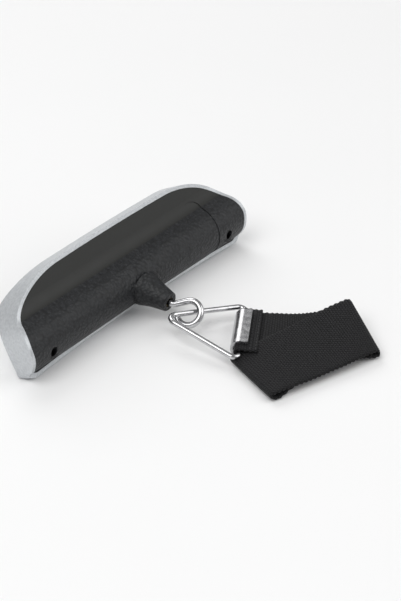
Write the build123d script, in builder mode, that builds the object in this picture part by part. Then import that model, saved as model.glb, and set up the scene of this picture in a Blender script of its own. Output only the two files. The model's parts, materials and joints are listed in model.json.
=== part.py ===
from build123d import *
import os
from math import cos, radians, sin, tan

os.makedirs("parts", exist_ok=True)

# A digital luggage scale lying on a table: T handle, swivelling wire eye, triangular ring and
# a looped webbing strap with a stamped hook. Millimetres, +Z up, the table at Z = 0.

# ---------------------------------------------------------------- driving dimensions
# the middle of the handle's top rim
HANDLE_X, HANDLE_Y, HANDLE_Z = 0.0, 58.45, 36.85
LEAN = 28.0  # the panel leans back from upright by this angle

# the handle's outline, in the panel's own plane, measured from the middle of the top rim
HALF_LENGTH = 73.5
PANEL_HEIGHT = 39.6
CORNER_START = 34.0
CORNER_DROP = 27.0
RIM_WALL = 1.6
SKIN = 1.8
FIT_GAP = 0.1

# the bulb that the fingers wrap round, an arc in the handle's section
BULB_Y, BULB_Z, BULB_R = -25.5, -4.0, 12.0
WING_Z = 1.0
FRONT_DEPTH = 16.2
COVER_LOW_Z = -3.0

# load axis and neck
LOAD_TILT = 7.3
NECK_Y, NECK_Z = -33.0, 7.6
NECK_LENGTH = 11.4
NECK_ROOT_R, NECK_TIP_R = 7.6, 4.4
MOUTH_R = 2.3
BUSH_R, BUSH_BORE_R = 2.8, 1.56
BUSH_IN, BUSH_OUT = 4.4, 10.3
SHANK_R = 1.5

# load cell, as distances inwards from the neck's base
CELL_NEAR, CELL_FAR = 6.0, 11.0
CELL_HALF, CELL_WIDTH = 20.0, 9.0
CELL_SCREW_X = 15.0
NUT_T, WASHER_T = 2.4, 0.6

# eye: a loop of wire in a plane turned about the load axis
EYE_ROLL = 45.0
EYE_R = 5.5
EYE_CENTRE = 10.7
EYE_BEND_R, EYE_BEND = 4.0, 40.0

# triangular ring
RING_WIRE_R = 1.2
RING_BASE, RING_HEIGHT = 42.0, 35.0
RING_CORNER_R, RING_APEX_R = 2.6, 4.0
RING_APEX_X, RING_APEX_Y, RING_APEX_Z = -11.4, -38.6, 10.7  # from the rim's middle; Z from the table
RING_YAW, RING_PITCH = 31.8, 10.04

# webbing
WEB_WIDTH, WEB_T = 32.0, 1.3
EYE_BORE_R = 1.3
FOLD_LEFT, FOLD_NEAR = -20.0, -104.0  # near corner of the sharp fold, from the rim's middle
UPPER_HEADING = 21.4  # degrees the upper run leans away from +X
UPPER_LENGTH = 56.0
END_STITCH_PITCH = 2.4

# display, keys and board
WINDOW_W, WINDOW_H, WINDOW_T = 50.0, 18.0, 1.1
DISPLAY_Y = -21.0
LENS_Z = -14.9
LCD_W, LCD_H, LCD_T = 46.0, 15.0, 2.4
BOARD_W, BOARD_H, BOARD_T = 86.0, 17.0, 1.2
BOARD_Z = -9.6
BUTTON_X, BUTTON_R, BUTTON_TRAVEL = 35.0, 4.35, 0.5
BOARD_SCREW_X, BOARD_SCREW_Y = 40.6, -15.0

# battery and its door
COIN_R, COIN_T, COIN_X = 10.0, 3.2, 48.0
DOOR_X, DOOR_W, DOOR_TOP = 48.0, 10.0, -10.5
DOOR_INSET = 1.35

# housing screws
SCREW_X, SCREW_Y = 60.0, -32.5
SCREW_HEAD_Z = -0.6

# ---------------------------------------------------------------- places and planes
up_panel = Vector(0, sin(radians(LEAN)), cos(radians(LEAN)))
rear = Vector(0, -cos(radians(LEAN)), sin(radians(LEAN)))
rim = Vector(HANDLE_X, HANDLE_Y, HANDLE_Z)
load_dir = Vector(0, -cos(radians(LOAD_TILT)), -sin(radians(LOAD_TILT)))
load_up = Vector(0, -sin(radians(LOAD_TILT)), cos(radians(LOAD_TILT)))


def at_handle(x, y, z):
    """A point in the handle's own frame: along it, up the panel, out of the back."""
    return rim + Vector(x, 0, 0) + up_panel * y + rear * z


def panel(z=0.0, x=0.0, y=0.0):
    """Plane parallel to the panel, its normal out of the back."""
    return Plane(origin=at_handle(x, y, z), x_dir=(1, 0, 0), z_dir=rear)


def section(x):
    """Plane across the handle: sketch x goes up the panel and sketch y out of the back."""
    return Plane(origin=at_handle(x, 0, 0), x_dir=up_panel, z_dir=(1, 0, 0))


def plan(y=0.0):
    """Plane seen from above the rim: sketch x along the handle and sketch y to the front."""
    return Plane(origin=at_handle(0, y, 0), x_dir=(1, 0, 0), z_dir=up_panel)


neck_base = at_handle(0, NECK_Y, NECK_Z)
neck_tip = neck_base + load_dir * NECK_LENGTH


def across_load(distance, x=0.0):
    """Plane square to the load axis, this far out of the neck's base."""
    origin = neck_base + load_dir * distance + Vector(x, 0, 0)
    return Plane(origin=origin, x_dir=(1, 0, 0), z_dir=load_dir)


def floor_y(z):
    """Where the table cuts the handle's section at a depth z."""
    return -HANDLE_Z / cos(radians(LEAN)) - z * tan(radians(LEAN))


def save(builder, node):
    """Names a finished piece and writes its STEP file."""
    builder.part.label = node
    export_step(builder.part, f"parts/{node}.step")


# ---------------------------------------------------------------- handle: outline and section
def outline(plane, inset=0.0):
    """The panel's outline as a sketch: an arched top, big rounded shoulders and a hollow foot."""
    side = HALF_LENGTH - inset
    low = -PANEL_HEIGHT + inset
    with BuildSketch(plane) as shape:
        with BuildLine():
            ThreePointArc((0, 0.4 - inset), (CORNER_START / 2, 0.3 - inset), (CORNER_START, -inset))
            EllipticalCenterArc(
                (CORNER_START, -CORNER_DROP), side - CORNER_START, CORNER_DROP - inset, arc_size=90
            )
            Line((side, -CORNER_DROP), (side - 0.6, low + 5))
            ThreePointArc((side - 0.6, low + 5), (side - 1.9, low + 1.5), (side - 5, low))
            ThreePointArc((side - 5, low), (side / 2, low + 1.5), (0, low + 2.1))
            mirror(about=Plane.YZ)
        make_face()
    return shape.sketch


def rear_profile(inset=0.0):
    """The back of the section from rim to lip: flat wing, hollow, bulb, lip. Moved in by inset."""
    radius = BULB_R - inset
    wing = WING_Z - inset
    first, last = radians(42), radians(166)
    join = (BULB_Y + radius * cos(first), BULB_Z + radius * sin(first))
    end = (BULB_Y + radius * cos(last), BULB_Z + radius * sin(last))
    top = Line((3, wing), (-9, wing))
    Spline((-9, wing), join, tangents=((-1, 0), (-sin(first), cos(first))))
    CenterArc((BULB_Y, BULB_Z), radius, 42, 124)
    lip = Line(end, (-44, end[1] - 1))
    return top @ 0, lip @ 1


def front_profile(inset=0.0):
    """The front of the section from rim to foot, moved in by inset."""
    depth = FRONT_DEPTH - inset
    face = Spline(
        (3, -3 + inset),
        (-5, -depth + 5.0),
        (-12, -depth + 1.1),
        (-21, -depth),
        (-29.5, -depth + 0.9),
        (floor_y(-12.4) + 0.7 * inset, -12.4 + 0.6 * inset),
    )
    return face @ 0, face @ 1


def front_plan(inset=0.0):
    """How far the front bulges, seen from above the rim, closed well behind the back."""
    with BuildSketch(plan(-60)) as shape:
        with BuildLine():
            ThreePointArc((77 - inset, 1.5), (66 - inset, 12.6 - inset), (44, 15.9 - inset))
            ThreePointArc((44, 15.9 - inset), (0, 16.7 - inset), (-44, 15.9 - inset))
            ThreePointArc((-44, 15.9 - inset), (-66 + inset, 12.6 - inset), (-77 + inset, 1.5))
            Polyline((-77 + inset, 1.5), (-77 + inset, -24), (77 - inset, -24), (77 - inset, 1.5))
        make_face()
    return shape.sketch


with BuildPart() as handle_form:
    with BuildSketch(section(-80)):
        with BuildLine():
            back_top, back_low = rear_profile()
            front_top, front_low = front_profile()
            Line(back_top, front_top)
            Polyline(front_low, (floor_y(-3), -3), (-44, -3), back_low)
        make_face()
    extrude(amount=160)
    extrude(front_plan(), amount=80, mode=Mode.INTERSECT)
    extrude(outline(panel(-20)), amount=40, mode=Mode.INTERSECT)

with BuildPart() as shell_cavity:
    with BuildSketch(section(-80)):
        with BuildLine():
            front_top, front_low = front_profile(SKIN)
            foot_z = front_low.Y
            Polyline(
                front_low,
                (floor_y(foot_z) + SKIN, foot_z),
                (floor_y(-1) + SKIN, -1),
                (-44, -1),
                (-44, 20),
                (3, 20),
                front_top,
            )
        make_face()
    extrude(amount=160)
    extrude(front_plan(SKIN), amount=80, mode=Mode.INTERSECT)
    extrude(outline(panel(-20), RIM_WALL), amount=40, mode=Mode.INTERSECT)

# ---------------------------------------------------------------- neck as a turned form
with BuildPart() as neck_form:
    with BuildSketch(Plane(origin=neck_base, x_dir=load_dir, z_dir=(1, 0, 0))):
        with BuildLine():
            tip = NECK_LENGTH
            Line((-3.2, 0), (-3.2, NECK_ROOT_R + 0.4))
            Spline(
                (-3.2, NECK_ROOT_R + 0.4),
                (0.8, NECK_ROOT_R - 0.7),
                (4.5, NECK_ROOT_R - 1.8),
                tangents=((1, -0.05), (1, -0.25)),
            )
            Line((4.5, NECK_ROOT_R - 1.8), (tip - 0.6, NECK_TIP_R + 0.1))
            ThreePointArc((tip - 0.6, NECK_TIP_R + 0.1), (tip - 0.15, NECK_TIP_R - 0.1), (tip, NECK_TIP_R - 0.6))
            Polyline((tip, NECK_TIP_R - 0.6), (tip, 0), (-3.2, 0))
        make_face()
    revolve(axis=Axis(neck_base, load_dir))


# ---------------------------------------------------------------- front shell
def screw_post(x, y, low, high, radius, hole_r):
    """A screw post on the front shell's inner face, with a blind hole in its top."""
    with BuildSketch(panel(low, x, y)) as post:
        Circle(radius)
    extrude(post.sketch, amount=high - low)
    with BuildSketch(panel(high - 5.0, x, y)) as hole:
        Circle(hole_r)
    extrude(hole.sketch, amount=6.0, mode=Mode.SUBTRACT)


with BuildPart() as front_shell:
    add(handle_form.part)
    add(shell_cavity.part, mode=Mode.SUBTRACT)
    for side in (-1, 1):
        screw_post(side * SCREW_X, SCREW_Y, -11.0, COVER_LOW_Z - FIT_GAP, 2.8, 1.05)
        screw_post(side * BOARD_SCREW_X, BOARD_SCREW_Y, -14.6, BOARD_Z, 1.9, 0.85)
    # rebate for the lens and the opening behind it
    with BuildSketch(panel(LENS_Z, 0, DISPLAY_Y)):
        RectangleRounded(WINDOW_W, WINDOW_H, 2.0)
    extrude(amount=-6, mode=Mode.SUBTRACT)
    with BuildSketch(panel(LENS_Z, 0, DISPLAY_Y)):
        RectangleRounded(LCD_W + 0.8, LCD_H + 0.8, 0.8)
    extrude(amount=3, mode=Mode.SUBTRACT)
    # key holes
    with BuildSketch(panel(-12, 0, DISPLAY_Y)):
        with Locations((-BUTTON_X, 0), (BUTTON_X, 0)):
            Circle(BUTTON_R + 0.15)
    extrude(amount=-8, mode=Mode.SUBTRACT)
    # the lip is notched where the neck passes
    with BuildSketch(across_load(-9)):
        Circle(NECK_ROOT_R + 0.7)
    extrude(amount=20, mode=Mode.SUBTRACT)
save(front_shell, "front_shell")

# ---------------------------------------------------------------- rear cover
COVER_INSET = RIM_WALL + FIT_GAP


def door_shape(plane, gap=0.0):
    """The battery door's outline: straight sides and a rounded top, open at the foot."""
    half = DOOR_W / 2 - gap
    with BuildSketch(plane) as shape:
        with BuildLine():
            Line((half, -44), (half, DOOR_TOP - 3))
            ThreePointArc((half, DOOR_TOP - 3), (0, DOOR_TOP - gap), (-half, DOOR_TOP - 3))
            Polyline((-half, DOOR_TOP - 3), (-half, -44), (half, -44))
        make_face()
    return shape.sketch


with BuildPart() as cover_form:
    with BuildSketch(section(-80)):
        with BuildLine():
            back_top, back_low = rear_profile()
            Polyline(back_top, (3, COVER_LOW_Z), (-44, COVER_LOW_Z), back_low)
        make_face()
    extrude(amount=160)
    extrude(outline(panel(-20), COVER_INSET), amount=40, mode=Mode.INTERSECT)

with BuildPart() as cover_cavity:
    with BuildSketch(section(-80)):
        with BuildLine():
            back_top, back_low = rear_profile(SKIN)
            Polyline(back_top, (3, -8), (-44, -8), back_low)
        make_face()
    extrude(amount=160)
    extrude(outline(panel(-20), COVER_INSET + SKIN), amount=40, mode=Mode.INTERSECT)

with BuildPart() as rear_cover:
    add(cover_form.part)
    add(neck_form.part)
    add(cover_cavity.part, mode=Mode.SUBTRACT)
    # posts for the housing screws, with deep recesses
    for side in (-1, 1):
        with BuildSketch(panel(COVER_LOW_Z, side * SCREW_X, SCREW_Y)):
            Circle(3.2)
        extrude(amount=7)
        with BuildSketch(panel(SCREW_HEAD_Z, side * SCREW_X, SCREW_Y)):
            Circle(1.95)
        extrude(amount=12, mode=Mode.SUBTRACT)
        with BuildSketch(panel(COVER_LOW_Z - 1, side * SCREW_X, SCREW_Y)):
            Circle(1.15)
        extrude(amount=6, mode=Mode.SUBTRACT)
    # posts that carry the load cell
    for side in (-1, 1):
        with BuildSketch(across_load(-CELL_NEAR, side * CELL_SCREW_X)):
            Circle(3.0)
            Circle(1.1, mode=Mode.SUBTRACT)
        extrude(amount=CELL_NEAR - 2.6)
    # the neck is bored for the bush, with a smaller mouth
    with BuildSketch(across_load(-9)):
        Circle(BUSH_R + 0.05)
    extrude(amount=9 + BUSH_OUT, mode=Mode.SUBTRACT)
    with BuildSketch(across_load(BUSH_OUT)):
        Circle(MOUTH_R)
    extrude(amount=4, mode=Mode.SUBTRACT)
    # opening for the battery door
    extrude(door_shape(panel(COVER_LOW_Z - 1, DOOR_X)), amount=20, mode=Mode.SUBTRACT)
save(rear_cover, "rear_cover")

with BuildPart() as battery_door:
    with BuildSketch(section(DOOR_X - DOOR_W)):
        with BuildLine():
            back_top, back_low = rear_profile(0.25)
            Polyline(back_top, (3, COVER_LOW_Z), (-44, COVER_LOW_Z), back_low)
        make_face()
    extrude(amount=2 * DOOR_W)
    with BuildSketch(section(DOOR_X - DOOR_W)):
        with BuildLine():
            back_top, back_low = rear_profile(DOOR_INSET)
            Polyline(back_top, (3, -8), (-37.2, -8), (-37.2, -2.2), back_low)
        make_face()
    extrude(amount=2 * DOOR_W, mode=Mode.SUBTRACT)
    extrude(door_shape(panel(-20, DOOR_X), 0.15), amount=40, mode=Mode.INTERSECT)
    extrude(outline(panel(-20), COVER_INSET + 0.05), amount=40, mode=Mode.INTERSECT)
save(battery_door, "battery_door")


# ---------------------------------------------------------------- small round pieces
def disc_stack(plane, steps):
    """Round steps along a plane's normal, each a radius with the heights it runs between."""
    for radius, low, high in steps:
        with BuildSketch(plane.offset(low)) as step:
            Circle(radius)
        extrude(step.sketch, amount=high - low)


with BuildPart() as housing_screws:
    for side in (-1, 1):
        base = panel(0, side * SCREW_X, SCREW_Y)
        disc_stack(base, ((1.8, SCREW_HEAD_Z, SCREW_HEAD_Z + 1.3), (1.0, -8.0, SCREW_HEAD_Z)))
        with BuildSketch(base.offset(SCREW_HEAD_Z + 0.5)):
            Rectangle(2.6, 0.5)
            Rectangle(0.5, 2.6)
        extrude(amount=2, mode=Mode.SUBTRACT)
save(housing_screws, "housing_screws")

with BuildPart() as neck_bush:
    with BuildSketch(across_load(BUSH_IN)):
        Circle(BUSH_R)
        Circle(BUSH_BORE_R, mode=Mode.SUBTRACT)
    extrude(amount=BUSH_OUT - BUSH_IN)
save(neck_bush, "neck_bush")

# ---------------------------------------------------------------- load cell
across_width = Vector(0, load_up.Y, load_up.Z)
with BuildPart() as load_cell:
    with BuildSketch(across_load(-CELL_FAR)):
        Rectangle(2 * CELL_HALF, CELL_WIDTH)
        Circle(SHANK_R + 0.35, mode=Mode.SUBTRACT)
        with Locations((-CELL_SCREW_X, 0), (CELL_SCREW_X, 0)):
            Circle(1.2, mode=Mode.SUBTRACT)
    extrude(amount=CELL_FAR - CELL_NEAR)
    # paired holes through its width leave two thin bending webs on each side
    middle = neck_base - load_dir * (CELL_NEAR + CELL_FAR) / 2
    with BuildSketch(Plane(origin=middle - load_up * CELL_WIDTH, x_dir=(1, 0, 0), z_dir=load_up)):
        with Locations((-9.4, 0), (-6.2, 0), (6.2, 0), (9.4, 0)):
            Circle(1.75)
    extrude(amount=2 * CELL_WIDTH, mode=Mode.SUBTRACT)
save(load_cell, "load_cell")

with BuildPart() as strain_gauges:
    with BuildSketch(across_load(-CELL_FAR - 0.3)):
        with Locations((-7.8, 0), (7.8, 0)):
            Rectangle(6.0, 4.0)
    extrude(amount=0.3)
save(strain_gauges, "strain_gauges")

with BuildPart() as load_cell_screws:
    for side in (-1, 1):
        base = across_load(0, side * CELL_SCREW_X)
        disc_stack(base, ((2.0, -CELL_FAR - 1.3, -CELL_FAR), (1.05, -CELL_FAR, -5.0)))
        with BuildSketch(base.offset(-CELL_FAR - 1.3)):
            Rectangle(2.8, 0.5)
            Rectangle(0.5, 2.8)
        extrude(amount=0.7, mode=Mode.SUBTRACT)
save(load_cell_screws, "load_cell_screws")

# ---------------------------------------------------------------- wire eye on its shank
eye_side = Vector(cos(radians(EYE_ROLL)), 0, 0) + load_up * sin(radians(EYE_ROLL))
eye_plane = Plane(origin=neck_tip, x_dir=load_dir, z_dir=load_dir.cross(eye_side))
shank_start = -(NECK_LENGTH + CELL_FAR + WASHER_T + NUT_T + 0.8)
bend_rise = EYE_BEND_R * (1 - cos(radians(EYE_BEND)))
join_angle = 90 + EYE_BEND
join_x = EYE_CENTRE + EYE_R * cos(radians(join_angle))
join_y = EYE_R * sin(radians(join_angle))
ramp = (join_y - bend_rise) / sin(radians(EYE_BEND))
bend_x = join_x - ramp * cos(radians(EYE_BEND)) - EYE_BEND_R * sin(radians(EYE_BEND))

with BuildPart() as hook_eye:
    with BuildLine(eye_plane) as eye_path:
        shank = Line((shank_start, 0), (bend_x, 0))
        bend = JernArc(shank @ 1, (1, 0), EYE_BEND_R, EYE_BEND)
        slope = (cos(radians(EYE_BEND)), sin(radians(EYE_BEND)))
        leg_end = (join_x, join_y)
        leg = Line((bend_x + EYE_BEND_R * slope[1], bend_rise), leg_end)
        loop = JernArc(leg_end, slope, EYE_R, -280)
    with BuildSketch(Plane(origin=neck_tip + load_dir * shank_start, x_dir=(1, 0, 0), z_dir=load_dir)):
        Circle(SHANK_R)
    sweep(path=eye_path.wire())
save(hook_eye, "hook_eye")

with BuildPart() as shank_washer:
    with BuildSketch(across_load(-CELL_FAR - WASHER_T - 0.1)):
        Circle(3.3)
        Circle(SHANK_R + 0.03, mode=Mode.SUBTRACT)
    extrude(amount=WASHER_T)
save(shank_washer, "shank_washer")

with BuildPart() as shank_nut:
    with BuildSketch(across_load(-CELL_FAR - WASHER_T - NUT_T - 0.15)):
        RegularPolygon(radius=3.0, side_count=6)
        Circle(SHANK_R + 0.03, mode=Mode.SUBTRACT)
    extrude(amount=NUT_T)
save(shank_nut, "shank_nut")

# ---------------------------------------------------------------- triangular ring
ring_apex = Vector(HANDLE_X + RING_APEX_X, HANDLE_Y + RING_APEX_Y, RING_APEX_Z)
bar_dir = Vector(cos(radians(RING_YAW)), sin(radians(RING_YAW)), 0)
level_dir = Vector(sin(radians(RING_YAW)), -cos(radians(RING_YAW)), 0)
ring_dir = level_dir * cos(radians(RING_PITCH)) - Vector(0, 0, 1) * sin(radians(RING_PITCH))
ring_plane = Plane(origin=ring_apex, x_dir=bar_dir, z_dir=bar_dir.cross(ring_dir))
bar_middle = ring_apex + ring_dir * RING_HEIGHT

with BuildPart() as triangle_ring:
    with BuildLine(ring_plane) as ring_path:
        FilletPolyline(
            (0.2, RING_HEIGHT),
            (RING_BASE / 2, RING_HEIGHT),
            (0, 0),
            (-RING_BASE / 2, RING_HEIGHT),
            (-0.2, RING_HEIGHT),
            radius=[RING_CORNER_R, RING_APEX_R, RING_CORNER_R],
        )
    with BuildSketch(Plane(origin=ring_path.wire() @ 0, z_dir=ring_path.wire() % 0)):
        Circle(RING_WIRE_R)
    sweep(path=ring_path.wire())
save(triangle_ring, "triangle_ring")

# ---------------------------------------------------------------- display and keys
with BuildPart() as display_window:
    with BuildSketch(panel(LENS_Z - WINDOW_T, 0, DISPLAY_Y)):
        RectangleRounded(WINDOW_W - 0.3, WINDOW_H - 0.3, 1.9)
    extrude(amount=WINDOW_T - 0.02)
save(display_window, "display_window")

LCD_BACK = LENS_Z + LCD_T + 0.1
with BuildPart() as lcd_panel:
    with BuildSketch(panel(LENS_Z + 0.1, 0, DISPLAY_Y)):
        Rectangle(LCD_W, LCD_H)
    extrude(amount=LCD_T)
save(lcd_panel, "lcd_panel")

with BuildPart() as lcd_contact_strips:
    with BuildSketch(panel(LCD_BACK, 0, DISPLAY_Y)):
        with Locations((0, LCD_H / 2 - 1.4), (0, -LCD_H / 2 + 1.4)):
            Rectangle(40, 1.8)
    extrude(amount=BOARD_Z - LCD_BACK)
save(lcd_contact_strips, "lcd_contact_strips")

with BuildPart() as circuit_board:
    with BuildSketch(panel(BOARD_Z, 0, DISPLAY_Y)):
        RectangleRounded(BOARD_W, BOARD_H, 1.0)
        with Locations((-BOARD_SCREW_X, BOARD_SCREW_Y - DISPLAY_Y), (BOARD_SCREW_X, BOARD_SCREW_Y - DISPLAY_Y)):
            Circle(0.95, mode=Mode.SUBTRACT)
    extrude(amount=BOARD_T)
save(circuit_board, "circuit_board")

with BuildPart() as measuring_chip:
    with BuildSketch(panel(BOARD_Z + BOARD_T, -20, DISPLAY_Y + 1)):
        Rectangle(8, 8)
    extrude(amount=1.2)
save(measuring_chip, "measuring_chip")

with BuildPart() as board_screws:
    for side in (-1, 1):
        base = panel(BOARD_Z + BOARD_T, side * BOARD_SCREW_X, BOARD_SCREW_Y)
        disc_stack(base, ((1.6, 0.0, 1.0), (0.85, -4.0, 0.0)))
        with BuildSketch(base.offset(0.5)):
            Rectangle(2.2, 0.45)
            Rectangle(0.45, 2.2)
        extrude(amount=1, mode=Mode.SUBTRACT)
save(board_screws, "board_screws")

SWITCH_FRONT = BOARD_Z - 2.0
with BuildPart() as tact_switches:
    for side in (-1, 1):
        base = panel(0, side * BUTTON_X, DISPLAY_Y)
        with BuildSketch(base.offset(SWITCH_FRONT)):
            Rectangle(6, 6)
        extrude(amount=2.0)
save(tact_switches, "tact_switches")


def key(x):
    """A round key cap: proud of the shell, with a retaining flange behind the hole."""
    base = panel(0, x, DISPLAY_Y)
    stem_back = SWITCH_FRONT - BUTTON_TRAVEL - 0.1
    disc_stack(base, ((BUTTON_R, -16.9, -13.7), (BUTTON_R + 1.1, -13.7, -12.9), (1.6, -12.9, stem_back)))


with BuildPart() as on_off_button:
    key(-BUTTON_X)
save(on_off_button, "on_off_button")

with BuildPart() as unit_button:
    key(BUTTON_X)
save(unit_button, "unit_button")

# ---------------------------------------------------------------- battery
coin_y, coin_z = -25.3, -3.6
with BuildPart() as coin_cell:
    with BuildSketch(Plane(origin=at_handle(COIN_X - COIN_T / 2, coin_y, coin_z), z_dir=(1, 0, 0))):
        Circle(COIN_R - 1.2)
    extrude(amount=COIN_T)
    with BuildSketch(Plane(origin=at_handle(COIN_X - COIN_T / 2 + 0.4, coin_y, coin_z), z_dir=(1, 0, 0))):
        Circle(COIN_R)
    extrude(amount=COIN_T - 0.4)
save(coin_cell, "coin_cell")


def contact_leaf(x):
    """A thin sprung leaf standing beside the cell."""
    with BuildSketch(Plane(origin=at_handle(x, coin_y, coin_z - 1), x_dir=up_panel, z_dir=(1, 0, 0))) as leaf:
        Rectangle(5.0, 9.0)
    extrude(leaf.sketch, amount=0.3)


with BuildPart() as battery_contact_minus:
    contact_leaf(COIN_X - COIN_T / 2 - 0.35)
save(battery_contact_minus, "battery_contact_minus")

with BuildPart() as battery_contact_plus:
    contact_leaf(COIN_X + COIN_T / 2 + 0.05)
save(battery_contact_plus, "battery_contact_plus")

# ---------------------------------------------------------------- webbing strap and hook clip
bar_z = bar_middle.Z
strap_width = Vector(bar_dir.X, bar_dir.Y, 0)


def strap_section(t):
    """Plane across the bar: sketch x runs away from the apex, sketch y up, from the bar's centre."""
    return Plane(origin=bar_middle + strap_width * t, x_dir=level_dir, z_dir=level_dir.cross(Vector(0, 0, 1)))


def beside_bar(s, t, z=0.0):
    """A point this far beyond the bar, this far along it and this high over the table."""
    spot = bar_middle + level_dir * s + strap_width * t
    return Vector(spot.X, spot.Y, z)


def slab(points, low, high):
    """A flat run of webbing between two heights over the table."""
    with BuildSketch(Plane.XY.offset(low)) as run:
        with BuildLine():
            Polyline(*[(point.X, point.Y) for point in points], close=True)
        make_face()
    extrude(run.sketch, amount=high - low)


HALF_WEB = WEB_WIDTH / 2
UNDER_LOW, LOWER_LOW, UPPER_LOW = 0.0, 4.0, 5.5
TAIL_END, UPPER_START, EYE_TAIL_START = 8.0, 8.6, 2.2
heading = radians(UPPER_HEADING)
upper_dir = Vector(cos(heading), -sin(heading), 0)
upper_side = Vector(sin(heading), cos(heading), 0)
fold_near = Vector(HANDLE_X + FOLD_LEFT, HANDLE_Y + FOLD_NEAR, 0)


def upper_point(along, across):
    """A point on the upper run, from the near corner of the sharp fold."""
    return fold_near + upper_dir * along + upper_side * across


eye_middle = LOWER_LOW + WEB_T - bar_z
with BuildPart() as strap_sewn_eye:
    with BuildSketch(strap_section(-HALF_WEB)):
        Circle(EYE_BORE_R + WEB_T)
        with Locations(((EYE_TAIL_START + TAIL_END) / 2, eye_middle)):
            Rectangle(TAIL_END - EYE_TAIL_START, 2 * WEB_T)
        Circle(EYE_BORE_R, mode=Mode.SUBTRACT)
    extrude(amount=WEB_WIDTH, dir=strap_width)
save(strap_sewn_eye, "strap_sewn_eye")

turn_far = upper_point(UPPER_LENGTH, WEB_WIDTH)
turn_near = upper_point(UPPER_LENGTH, 0)
lower_bend = upper_point(30, WEB_WIDTH + 2)
with BuildPart() as strap_lower_run:
    slab(
        (
            beside_bar(TAIL_END + 0.05, HALF_WEB),
            lower_bend,
            turn_far,
            turn_near,
            upper_point(22, 0),
            beside_bar(TAIL_END + 0.05, -HALF_WEB),
        ),
        LOWER_LOW,
        LOWER_LOW + WEB_T,
    )
save(strap_lower_run, "strap_lower_run")

with BuildPart() as strap_upper_run:
    slab(
        (upper_point(0, 0), turn_near, turn_far, upper_point(16.0, WEB_WIDTH), upper_point(0, 11.0)),
        UPPER_LOW,
        UPPER_LOW + WEB_T,
    )
save(strap_upper_run, "strap_upper_run")


def bend(start, outward, width_dir, width, low, high, wall):
    """Half a tube of webbing joining two runs, bulging outward from an edge."""
    radius = (high - low) / 2
    centre = start + Vector(0, 0, (high + low) / 2)
    with BuildSketch(Plane(origin=centre, x_dir=outward, z_dir=outward.cross(Vector(0, 0, 1)))) as half:
        with BuildLine():
            ThreePointArc((0, radius), (radius, 0), (0, -radius))
            Line((0, -radius), (0, wall - radius))
            ThreePointArc((0, wall - radius), (radius - wall, 0), (0, radius - wall))
            Line((0, radius - wall), (0, radius))
        make_face()
    extrude(half.sketch, amount=width, dir=width_dir)


with BuildPart() as strap_end_turn:
    bend(turn_near, upper_dir, upper_side, WEB_WIDTH, LOWER_LOW, UPPER_LOW + WEB_T, WEB_T)
save(strap_end_turn, "strap_end_turn")

with BuildPart() as strap_fold:
    bend(upper_point(0, 0), -upper_dir, upper_side, 11.0, UNDER_LOW, UPPER_LOW + WEB_T, WEB_T)
save(strap_fold, "strap_fold")

SLOT_NEAR, BAR_NEAR, BAR_FAR = 3.2, 6.0, 8.6
with BuildPart() as strap_under_run:
    slab(
        (
            upper_point(0, 0),
            upper_point(24, 4),
            beside_bar(22, 14),
            beside_bar(BAR_NEAR, HALF_WEB),
            beside_bar(BAR_NEAR, -HALF_WEB),
            beside_bar(14, -HALF_WEB),
            upper_point(0, 13.0),
        ),
        UNDER_LOW,
        UNDER_LOW + WEB_T,
    )
    bend(
        beside_bar(BAR_NEAR, -HALF_WEB),
        -level_dir,
        strap_width,
        WEB_WIDTH,
        UNDER_LOW,
        LOWER_LOW - 0.1,
        WEB_T,
    )
    slab(
        (
            beside_bar(BAR_NEAR, HALF_WEB),
            beside_bar(14, HALF_WEB),
            beside_bar(14, -HALF_WEB),
            beside_bar(BAR_NEAR, -HALF_WEB),
        ),
        LOWER_LOW - 0.1 - WEB_T,
        LOWER_LOW - 0.1,
    )
save(strap_under_run, "strap_under_run")

with BuildPart() as strap_stitching:
    rows = (4.4, 6.8)
    for row in rows:
        for k in range(-6, 7):
            spot = beside_bar(row, k * END_STITCH_PITCH, LOWER_LOW + 2 * WEB_T)
            with BuildSketch(Plane(origin=spot, x_dir=strap_width, z_dir=(0, 0, 1))):
                SlotOverall(1.7, 0.5)
            extrude(amount=0.2)
save(strap_stitching, "strap_stitching")

HOOK_IN_R, HOOK_T, HOOK_HALF = 2.75, 1.4, 12.5
HOOK_LIP = 3.4
PLATE_HALF, PLATE_T = 18.6, 1.2
with BuildPart() as hook_clip:
    out_r = HOOK_IN_R + HOOK_T
    with BuildSketch(strap_section(-HOOK_HALF)):
        with BuildLine():
            Line((HOOK_LIP, HOOK_IN_R), (0, HOOK_IN_R))
            ThreePointArc((0, HOOK_IN_R), (-HOOK_IN_R, 0), (0, -HOOK_IN_R))
            Polyline((0, -HOOK_IN_R), (SLOT_NEAR, -HOOK_IN_R), (SLOT_NEAR, -out_r), (0, -out_r))
            ThreePointArc((0, -out_r), (-out_r, 0), (0, out_r))
            Polyline((0, out_r), (HOOK_LIP, out_r), (HOOK_LIP, HOOK_IN_R))
        make_face()
    extrude(amount=2 * HOOK_HALF, dir=strap_width)
    with BuildSketch(Plane(origin=beside_bar(0, 0, WEB_T + 0.05), x_dir=level_dir, z_dir=(0, 0, 1))):
        with Locations(((1.6 + BAR_FAR) / 2, 0)):
            RectangleRounded(BAR_FAR - 1.6, 2 * PLATE_HALF, 1.2)
        with Locations(((SLOT_NEAR + BAR_NEAR) / 2 + 0.1, 0)):
            RectangleRounded(BAR_NEAR - SLOT_NEAR - 0.2, 2 * HALF_WEB + 0.8, 0.9, mode=Mode.SUBTRACT)
    extrude(amount=PLATE_T)
save(hook_clip, "hook_clip")
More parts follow.
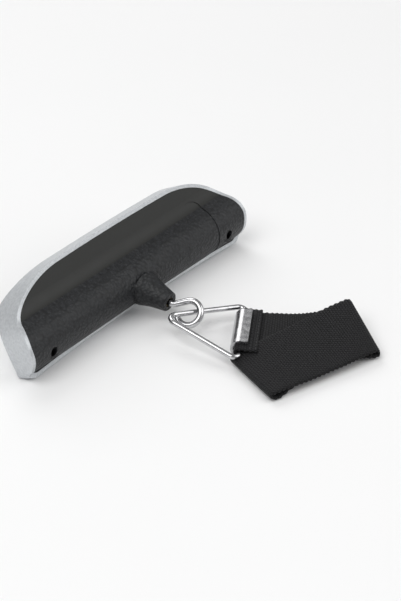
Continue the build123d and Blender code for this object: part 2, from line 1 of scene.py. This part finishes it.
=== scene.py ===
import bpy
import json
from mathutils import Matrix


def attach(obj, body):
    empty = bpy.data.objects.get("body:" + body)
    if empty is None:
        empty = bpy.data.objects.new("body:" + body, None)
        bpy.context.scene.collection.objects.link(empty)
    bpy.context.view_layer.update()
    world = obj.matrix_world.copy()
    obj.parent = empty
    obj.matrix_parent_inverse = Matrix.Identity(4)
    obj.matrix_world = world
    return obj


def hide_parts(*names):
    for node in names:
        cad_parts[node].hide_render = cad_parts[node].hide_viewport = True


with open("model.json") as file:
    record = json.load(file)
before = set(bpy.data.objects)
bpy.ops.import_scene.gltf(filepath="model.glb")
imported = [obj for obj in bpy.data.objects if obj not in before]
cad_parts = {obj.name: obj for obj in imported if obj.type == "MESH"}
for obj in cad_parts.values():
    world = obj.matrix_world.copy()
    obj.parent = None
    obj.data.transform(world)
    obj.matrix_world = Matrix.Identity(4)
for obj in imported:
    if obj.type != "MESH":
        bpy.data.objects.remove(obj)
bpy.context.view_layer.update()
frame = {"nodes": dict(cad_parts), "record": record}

import json
from math import cos, pi, radians, sin

import bpy
from mathutils import Vector

MM = 0.001

# ---------------------------------------------------------------- places, in millimetres
# the middle of the handle's top rim, and the panel's own upward direction
RIM = Vector((0.0, 58.45, 36.85))
LEAN = radians(28.0)
UP_PANEL = Vector((0.0, sin(LEAN), cos(LEAN)))
GRIP_START = 15.0  # the pebbled grip begins this far down the panel from the rim
# the middle of the ring's base bar, the way along it, and the way out from the ring
BAR = Vector((6.76, -9.44, 4.6))
BAR_YAW = radians(31.8)
BAR_DIR = Vector((cos(BAR_YAW), sin(BAR_YAW), 0.0))
AWAY = Vector((BAR_DIR.y, -BAR_DIR.x, 0.0))

# ---------------------------------------------------------------- webbing, in millimetres
WEB_WIDTH, WEB_T = 32.0, 1.3
EYE_R = 1.97  # the middle of the webbing round the bar
STEP = 0.575  # between cross rows of the mesh
PATH_SPLITS = 24  # between two keys of the path
PICK_PITCH = 2.3  # between the notches of a selvedge
PICK_DEPTH = 0.32
COLUMNS = 28
SELVEDGE = 0.97  # the share of the half width where a selvedge begins
END_LEAD = 34.0  # how strongly the lower run holds its heading at each end
HIDDEN_R = 17.0  # the turn of the hidden run under the strap
# the upper run: its way from the sharp fold to the end turn, and across to its far edge
UPPER_YAW = radians(21.4)
UPPER_DIR = Vector((cos(UPPER_YAW), -sin(UPPER_YAW), 0.0))
UPPER_SIDE = Vector((-UPPER_DIR.y, UPPER_DIR.x, 0.0))
# the middle of the end turn with its way across, and the middle of the sharp fold
TURN = Vector((38.8, -48.6, 0.0))
TURN_SIDE = Vector((0.52, 0.854, 0.0))
FOLD_NEAR = Vector((-20.0, -45.55, 0.0))
FOLD = FOLD_NEAR + UPPER_SIDE * (WEB_WIDTH / 2)


# ---------------------------------------------------------------- node helpers
# a colour mix node's sockets, which share their names
MIX_FACTOR, MIX_A, MIX_B, MIX_RESULT = 0, 6, 7, 2


class Shader:
    """A material's node tree, with short ways to add and join nodes."""

    def __init__(self, material):
        material.use_nodes = True
        self.tree = material.node_tree
        self.tree.nodes.clear()
        self.out = self.add("ShaderNodeOutputMaterial")
        self.skin = self.add("ShaderNodeBsdfPrincipled")
        self.join(self.skin, "BSDF", self.out, "Surface")

    def add(self, kind, **values):
        """A new node with these settings."""
        node = self.tree.nodes.new(kind)
        for name, value in values.items():
            setattr(node, name, value)
        return node

    def join(self, a, a_name, b, b_name):
        """Links an output of node a to an input of node b."""
        self.tree.links.new(a.outputs[a_name], b.inputs[b_name])

    def place(self):
        """The piece's own coordinates, which move with it."""
        return self.add("ShaderNodeTexCoord")

    def noise(self, scale, detail=3.0, rough=0.5):
        """Noise in the piece's own coordinates; scale is in features per metre."""
        node = self.add("ShaderNodeTexNoise")
        node.inputs["Scale"].default_value = scale
        node.inputs["Detail"].default_value = detail
        node.inputs["Roughness"].default_value = rough
        self.join(self.place(), "Object", node, "Vector")
        return node

    def ramp(self, source, socket, stops):
        """A ramp of two stops, each a position and a colour."""
        node = self.add("ShaderNodeValToRGB")
        for (position, colour), element in zip(stops, node.color_ramp.elements):
            element.position = position
            element.color = (*colour, 1.0)
        self.join(source, socket, node, "Fac")
        return node

    def bump(self, source, socket, strength, distance, after=None):
        """Relief from a height, this deep in metres, laid over an earlier relief if there is one."""
        node = self.add("ShaderNodeBump")
        node.inputs["Strength"].default_value = strength
        node.inputs["Distance"].default_value = distance
        self.join(source, socket, node, "Height")
        if after is not None:
            self.join(after, "Normal", node, "Normal")
        return node

    def math(self, how, a, a_socket, value):
        """One arithmetic step between a node's output and a number."""
        node = self.add("ShaderNodeMath", operation=how)
        self.join(a, a_socket, node, 0)
        node.inputs[1].default_value = value
        return node


def material(name):
    """The frame's material of this name, or a new one."""
    return bpy.data.materials.get(name) or bpy.data.materials.new(name)


def speckled(name, dark, light, roughness, scale, metallic=0.0, grain=0.12, depth=0.04):
    """A finish with a fine uneven colour, an uneven gloss and a fine grain in its surface."""
    shader = Shader(material(name))
    noise = shader.noise(scale)
    tint = shader.ramp(noise, "Fac", ((0.35, dark), (0.68, light)))
    shader.join(tint, "Color", shader.skin, "Base Color")
    gloss_tones = ((0.3, (roughness * 0.85,) * 3), (0.7, (roughness * 1.15,) * 3))
    gloss = shader.ramp(noise, "Fac", gloss_tones)
    shader.join(gloss, "Color", shader.skin, "Roughness")
    shader.skin.inputs["Metallic"].default_value = metallic
    relief = shader.bump(noise, "Fac", grain, depth * MM)
    shader.join(relief, "Normal", shader.skin, "Normal")
    return shader


# ---------------------------------------------------------------- finishes
def black_housing():
    """Smooth on the wing above the grip, pebbled on the bulb."""
    shader = Shader(material("black_housing"))
    place = shader.place()
    height = shader.add("ShaderNodeVectorMath", operation="DOT_PRODUCT")
    height.inputs[1].default_value = UP_PANEL
    shader.join(place, "Object", height, 0)
    border = (RIM.dot(UP_PANEL) - GRIP_START) * MM
    grip = shader.math("LESS_THAN", height, "Value", border)
    pebble = shader.add("ShaderNodeTexVoronoi", feature="SMOOTH_F1")
    pebble.inputs["Scale"].default_value = 780.0
    pebble.inputs["Smoothness"].default_value = 0.55
    shader.join(place, "Object", pebble, "Vector")
    relief = shader.add("ShaderNodeMath", operation="MULTIPLY")
    shader.join(pebble, "Distance", relief, 0)
    shader.join(grip, "Value", relief, 1)
    fine = shader.noise(2600.0, 4.0, 0.6)
    skin_grain = shader.bump(fine, "Fac", 0.18, 0.05 * MM)
    bumps = shader.bump(relief, "Value", 0.85, 0.42 * MM, skin_grain)
    shader.join(bumps, "Normal", shader.skin, "Normal")
    blotch = shader.noise(160.0, 5.0, 0.6)
    # the wing's blotches are uneven tone of the plastic; its faint olive cast is a painted
    # reflection
    wing_blotch_and_reflection_tones = ((0.3, (0.0135, 0.0140, 0.0125)), (0.75, (0.0200, 0.0205, 0.0190)))
    wing = shader.ramp(blotch, "Fac", wing_blotch_and_reflection_tones)
    # the bulb is the same black plastic, painted lighter in each pebble's middle and darker towards
    # its seams: painted shade between the pebbles
    bulb_pebble_shade_tones = ((0.05, (0.0210, 0.0225, 0.0250)), (0.75, (0.0080, 0.0085, 0.0095)))
    bulb = shader.ramp(pebble, "Distance", bulb_pebble_shade_tones)
    tint = shader.add("ShaderNodeMix", data_type="RGBA")
    shader.join(grip, "Value", tint, MIX_FACTOR)
    shader.join(wing, "Color", tint, MIX_A)
    shader.join(bulb, "Color", tint, MIX_B)
    shader.join(tint, MIX_RESULT, shader.skin, "Base Color")
    gloss = shader.ramp(blotch, "Fac", ((0.3, (0.42,) * 3), (0.75, (0.54,) * 3)))
    shader.join(gloss, "Color", shader.skin, "Roughness")
    shader.skin.inputs["Specular IOR Level"].default_value = 0.38


def webbing():
    """Coarse staggered weave in the strap's own across and along millimetres."""
    shader = Shader(material("webbing"))
    place = shader.place()
    weave = shader.add("ShaderNodeTexBrick", offset=0.5)
    for name, value in (
        ("Scale", 1.0),
        ("Mortar Size", 0.30),
        ("Mortar Smooth", 1.0),
        ("Brick Width", 1.35),
        ("Row Height", 1.15),
    ):
        weave.inputs[name].default_value = value
    shader.join(place, "UV", weave, "Vector")
    fibre = shader.noise(3200.0, 4.0, 0.65)
    fuzz = shader.bump(fibre, "Fac", 0.35, 0.10 * MM)
    relief = shader.add("ShaderNodeBump", invert=True)
    relief.inputs["Strength"].default_value = 1.0
    relief.inputs["Distance"].default_value = 0.45 * MM
    shader.join(weave, "Fac", relief, "Height")
    shader.join(fuzz, "Normal", relief, "Normal")
    shader.join(relief, "Normal", shader.skin, "Normal")
    thread_tones = ((0.3, (0.0085, 0.0085, 0.0095)), (0.75, (0.0190, 0.0190, 0.0210)))
    thread = shader.ramp(fibre, "Fac", thread_tones)
    tint = shader.add("ShaderNodeMix", data_type="RGBA")
    shader.join(weave, "Fac", tint, MIX_FACTOR)
    shader.join(thread, "Color", tint, MIX_A)
    # the gaps between the weave's threads are painted near black: painted shade in the recesses of
    # the weave
    tint.inputs[MIX_B].default_value = (0.0025, 0.0025, 0.0028, 1.0)
    shader.join(tint, MIX_RESULT, shader.skin, "Base Color")
    gloss = shader.ramp(fibre, "Fac", ((0.3, (0.58,) * 3), (0.7, (0.74,) * 3)))
    shader.join(gloss, "Color", shader.skin, "Roughness")
    shader.skin.inputs["Specular IOR Level"].default_value = 0.22
    shader.skin.inputs["Sheen Weight"].default_value = 0.04
    shader.skin.inputs["Sheen Roughness"].default_value = 0.5


black_housing()
webbing()
speckled("silver_shell", (0.50, 0.52, 0.54), (0.60, 0.62, 0.64), 0.34, 900.0, 0.35, 0.06, 0.02)
speckled("steel", (0.50, 0.50, 0.51), (0.66, 0.66, 0.67), 0.17, 420.0, 1.0, 0.05, 0.02)
speckled("clip_steel", (0.46, 0.46, 0.47), (0.60, 0.60, 0.61), 0.22, 380.0, 1.0, 0.08, 0.02)
speckled("spring_steel", (0.42, 0.42, 0.41), (0.55, 0.55, 0.53), 0.30, 500.0, 1.0)
speckled("dark_steel", (0.015, 0.015, 0.016), (0.035, 0.035, 0.037), 0.40, 800.0, 0.8)
speckled("aluminium", (0.60, 0.61, 0.62), (0.72, 0.73, 0.74), 0.32, 600.0, 1.0)
speckled("brass", (0.55, 0.40, 0.18), (0.68, 0.52, 0.26), 0.28, 600.0, 1.0)
speckled("gauge_film", (0.55, 0.28, 0.05), (0.68, 0.38, 0.08), 0.25, 900.0)
speckled("lcd", (0.22, 0.25, 0.19), (0.27, 0.30, 0.23), 0.20, 300.0, 0.0, 0.02, 0.01)
speckled("grey_rubber", (0.05, 0.05, 0.055), (0.09, 0.09, 0.095), 0.62, 900.0)
speckled("green_board", (0.010, 0.060, 0.028), (0.018, 0.095, 0.042), 0.32, 500.0)
speckled("black_epoxy", (0.008, 0.008, 0.009), (0.016, 0.016, 0.017), 0.45, 1500.0)
speckled("switch_body", (0.012, 0.012, 0.013), (0.022, 0.022, 0.023), 0.40, 1200.0)
speckled("grey_key", (0.10, 0.105, 0.11), (0.14, 0.145, 0.15), 0.38, 1400.0)
speckled("thread", (0.010, 0.010, 0.011), (0.024, 0.024, 0.026), 0.70, 2500.0, 0.0, 0.5, 0.08)
lens = speckled("clear_lens", (0.75, 0.78, 0.80), (0.82, 0.85, 0.86), 0.06, 200.0, 0.0, 0.01, 0.005)
lens.skin.inputs["Transmission Weight"].default_value = 0.92
lens.skin.inputs["IOR"].default_value = 1.49

slots = {part["node"]: part["material_slot"] for part in frame["record"]["subparts"]}
for node, piece in frame["nodes"].items():
    piece.data.materials.clear()
    piece.data.materials.append(bpy.data.materials[slots[node]])


# ---------------------------------------------------------------- webbing strap
def smooth_path(keys, step):
    """A smooth path through the keys, evenly spaced, and its length.

    A key is its centre, the direction across the webbing, and how far the far edge is lifted.
    """
    dense = []
    padded = [keys[0], *keys, keys[-1]]
    for before, start, end, after in zip(padded, padded[1:], padded[2:], padded[3:]):
        for k in range(PATH_SPLITS):
            t = k / PATH_SPLITS
            weights = (
                (-t + 2 * t**2 - t**3) / 2,
                (2 - 5 * t**2 + 3 * t**3) / 2,
                (t + 4 * t**2 - 3 * t**3) / 2,
                (-(t**2) + t**3) / 2,
            )
            mixed = []
            for parts in zip(before, start, end, after):
                shares = [part * weight for part, weight in zip(parts, weights)]
                mixed.append(sum(shares[1:], shares[0]))
            dense.append(mixed)
    dense.append(list(keys[-1]))
    even = [dense[0]]
    travelled, wanted = 0.0, step
    for a, b in zip(dense, dense[1:]):
        gap = (b[0] - a[0]).length
        while gap > 1e-9 and travelled + gap >= wanted:
            t = (wanted - travelled) / gap
            even.append([p + (q - p) * t for p, q in zip(a, b)])
            wanted += step
        travelled += gap
    return even, travelled


def beside_bar(s, z, tilt=0.0):
    """A key over the bar's side: s away from it, at a height z over the table."""
    spot = BAR + AWAY * s
    return Vector((spot.x, spot.y, z)), BAR_DIR, tilt


def on_upper(share, z, tilt, reach=0.0):
    """A key on the run from the end turn to the sharp fold, or this far past its end."""
    spot = TURN.lerp(FOLD, share)
    outward = (TURN - FOLD).normalized()
    side = TURN_SIDE.lerp(UPPER_SIDE, min(1.0, share * 3)).normalized()
    spot = spot + outward * reach
    return Vector((spot.x, spot.y, z)), side, tilt


def lower_keys():
    """The run from the sewn eye out to the end turn, curving gently and rising at its far edge."""
    start, leave = BAR + AWAY * 12, AWAY * END_LEAD
    arrive = Vector((TURN_SIDE.y, -TURN_SIDE.x, 0.0)) * END_LEAD
    for t, z, tilt in ((0.0, 4.65, 0.0), (0.3, 4.5, 0.3), (0.6, 4.6, 1.4), (0.85, 5.0, 2.8)):
        spot = (
            start * (2 * t**3 - 3 * t**2 + 1)
            + leave * (t**3 - 2 * t**2 + t)
            + TURN * (-2 * t**3 + 3 * t**2)
            + arrive * (t**3 - t**2)
        )
        side = BAR_DIR.lerp(TURN_SIDE, t * t * (3 - 2 * t)).normalized()
        yield Vector((spot.x, spot.y, z)), side, tilt


keys = [beside_bar(7.6, 5.97), beside_bar(4.6, 6.02), beside_bar(2.2, 6.35)]
for degree in (78, 110, 145, 180, 215, 250, 282):
    turned = radians(degree)
    keys.append(beside_bar(EYE_R * cos(turned), BAR.z + EYE_R * sin(turned)))
keys += [beside_bar(2.6, 3.75), beside_bar(5.5, 4.55), beside_bar(8.5, 4.65)]
keys += list(lower_keys())
keys += [
    on_upper(0.0, 4.2, 3.0, 0.0),
    on_upper(0.0, 4.8, 3.4, 1.9),
    on_upper(0.0, 6.3, 3.6, 2.1),
    on_upper(0.0, 7.5, 3.6, 0.2),
    on_upper(0.14, 7.3, 3.2),
    on_upper(0.30, 6.4, 2.6),
    on_upper(0.50, 5.6, 2.0),
    on_upper(0.72, 4.9, 1.6),
    on_upper(0.88, 4.2, 0.7),
    on_upper(0.985, 3.2, -0.3),
    on_upper(1.0, 2.1, -0.2, -0.9),
    on_upper(0.985, 0.95, 0.0),
    on_upper(0.93, 0.8, 0.0),
]
# the hidden run leaves the sharp fold and curves away under the strap
arc_middle = FOLD + UPPER_DIR * 3 + UPPER_SIDE * (HIDDEN_R + 2)
for degree in (12, 34, 56, 78, 98):
    swing = radians(degree - 90) - UPPER_YAW
    reach = Vector((cos(swing), sin(swing), 0.0))
    keys.append((Vector((arc_middle.x, arc_middle.y, 0.8)) + reach * HIDDEN_R, -reach, 0.0))

stations, web_length = smooth_path(keys, STEP)
middle = []
for k, (centre, side, tilt) in enumerate(stations):
    side = side.normalized()
    serration = PICK_DEPTH * sin(2 * pi * k * STEP / PICK_PITCH)
    row = []
    for c in range(COLUMNS + 1):
        f = 2 * c / COLUMNS - 1
        half = WEB_WIDTH / 2 + (serration if abs(f) > SELVEDGE else 0.0)
        ripple = 0.10 * sin(k * 0.11 + 2.1 * f) * min(1.0, k / 60)
        flat = side * (f * half * (1 - (tilt / 16) ** 2) ** 0.5)
        row.append(centre + flat + Vector((0, 0, tilt * f + max(ripple, -0.08))))
    middle.append(row)

rows = len(middle)
verts, faces, corners = [], [], []
for layer in (1, -1):
    for k in range(rows):
        for c in range(COLUMNS + 1):
            along = middle[min(k + 1, rows - 1)][c] - middle[max(k - 1, 0)][c]
            across = middle[k][min(c + 1, COLUMNS)] - middle[k][max(c - 1, 0)]
            normal = across.cross(along).normalized()
            edge = abs(2 * c / COLUMNS - 1)
            thick = WEB_T / 2 * (0.55 if edge > SELVEDGE else 0.95)
            verts.append((middle[k][c] + normal * layer * thick) * MM)
span = COLUMNS + 1
under = rows * span


def patch(a, b, c, d, flip):
    """A face with its corners kept as across and along millimetres for the weave."""
    order = (a, b, c, d) if not flip else (d, c, b, a)
    faces.append(order)
    for v in order:
        k, column = divmod(v % under, span)
        corners.append(((column / COLUMNS) * WEB_WIDTH, k * STEP))


for k in range(rows - 1):
    for c in range(COLUMNS):
        a = k * span + c
        patch(a, a + 1, a + span + 1, a + span, True)
        patch(under + a, under + a + 1, under + a + span + 1, under + a + span, False)
    for a, flip in ((k * span, False), (k * span + COLUMNS, True)):
        patch(a, a + span, under + a + span, under + a, not flip)
for c in range(COLUMNS):
    patch(c, c + 1, under + c + 1, under + c, False)
    last = (rows - 1) * span + c
    patch(last, last + 1, under + last + 1, under + last, True)

mesh = bpy.data.meshes.new("webbing_strap")
mesh.from_pydata(verts, [], faces)
uv = mesh.uv_layers.new(name="weave")
for loop, spot in zip(uv.data, corners):
    loop.uv = spot
mesh.polygons.foreach_set("use_smooth", [True] * len(mesh.polygons))
mesh.update()
strap = bpy.data.objects.new("webbing_strap", mesh)
bpy.context.scene.collection.objects.link(strap)
mesh.materials.append(bpy.data.materials["webbing"])
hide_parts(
    "strap_sewn_eye",
    "strap_lower_run",
    "strap_end_turn",
    "strap_upper_run",
    "strap_fold",
    "strap_under_run",
)
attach(strap, "strap")

# ---------------------------------------------------------------- floor, light and camera
floor_mesh = bpy.data.meshes.new("studio_floor")
floor_mesh.from_pydata([(-4, -4, 0), (4, -4, 0), (4, 4, 0), (-4, 4, 0)], [], [(0, 1, 2, 3)])
floor = bpy.data.objects.new("studio_floor", floor_mesh)
floor.location.z = -0.0004
bpy.context.scene.collection.objects.link(floor)
paper = Shader(material("studio_paper"))
paper_tones = ((0.3, (0.90, 0.90, 0.90)), (0.7, (0.92, 0.92, 0.92)))
paper_tone = paper.ramp(paper.noise(3.0), "Fac", paper_tones)
paper.join(paper_tone, "Color", paper.skin, "Base Color")
paper.skin.inputs["Roughness"].default_value = 0.9
paper.skin.inputs["Specular IOR Level"].default_value = 0.1
floor_mesh.materials.append(bpy.data.materials["studio_paper"])


def area_light(name, spot, aim, size, power):
    """A square soft light at a spot, facing aim."""
    data = bpy.data.lights.new(name, "AREA")
    data.size = size
    data.energy = power
    lamp = bpy.data.objects.new(name, data)
    lamp.location = spot
    lamp.rotation_mode = "QUATERNION"
    lamp.rotation_quaternion = (Vector(aim) - Vector(spot)).to_track_quat("-Z", "Y")
    bpy.context.scene.collection.objects.link(lamp)


area_light("key", (-0.7, 0.1, 1.1), (0, 0, 0), 1.0, 9.0)
area_light("fill", (0.6, -0.9, 0.8), (0, 0, 0), 1.2, 7.0)
area_light("back", (0.5, 1.0, 0.9), (0, 0, 0), 0.9, 6.0)

world = bpy.data.worlds.new("studio")
bpy.context.scene.world = world
world.use_nodes = True
world.node_tree.nodes["Background"].inputs["Color"].default_value = (1, 1, 1, 1)
world.node_tree.nodes["Background"].inputs["Strength"].default_value = 0.33
bpy.context.scene.view_settings.view_transform = "Standard"

CAMERA_DISTANCE = 0.78
target = Vector((9.3, 15.25, 9.85)) * MM
bearing, height = radians(-52.0), radians(33.0)
look = Vector((-sin(bearing) * cos(height), cos(bearing) * cos(height), -sin(height)))
lens_data = bpy.data.cameras.new("camera")
lens_data.lens = 107.5
lens_data.sensor_width = 36.0
camera = bpy.data.objects.new("camera", lens_data)
camera.location = target - look * CAMERA_DISTANCE
camera.rotation_mode = "QUATERNION"
camera.rotation_quaternion = look.to_track_quat("-Z", "Y")
bpy.context.scene.collection.objects.link(camera)
bpy.context.scene.camera = camera
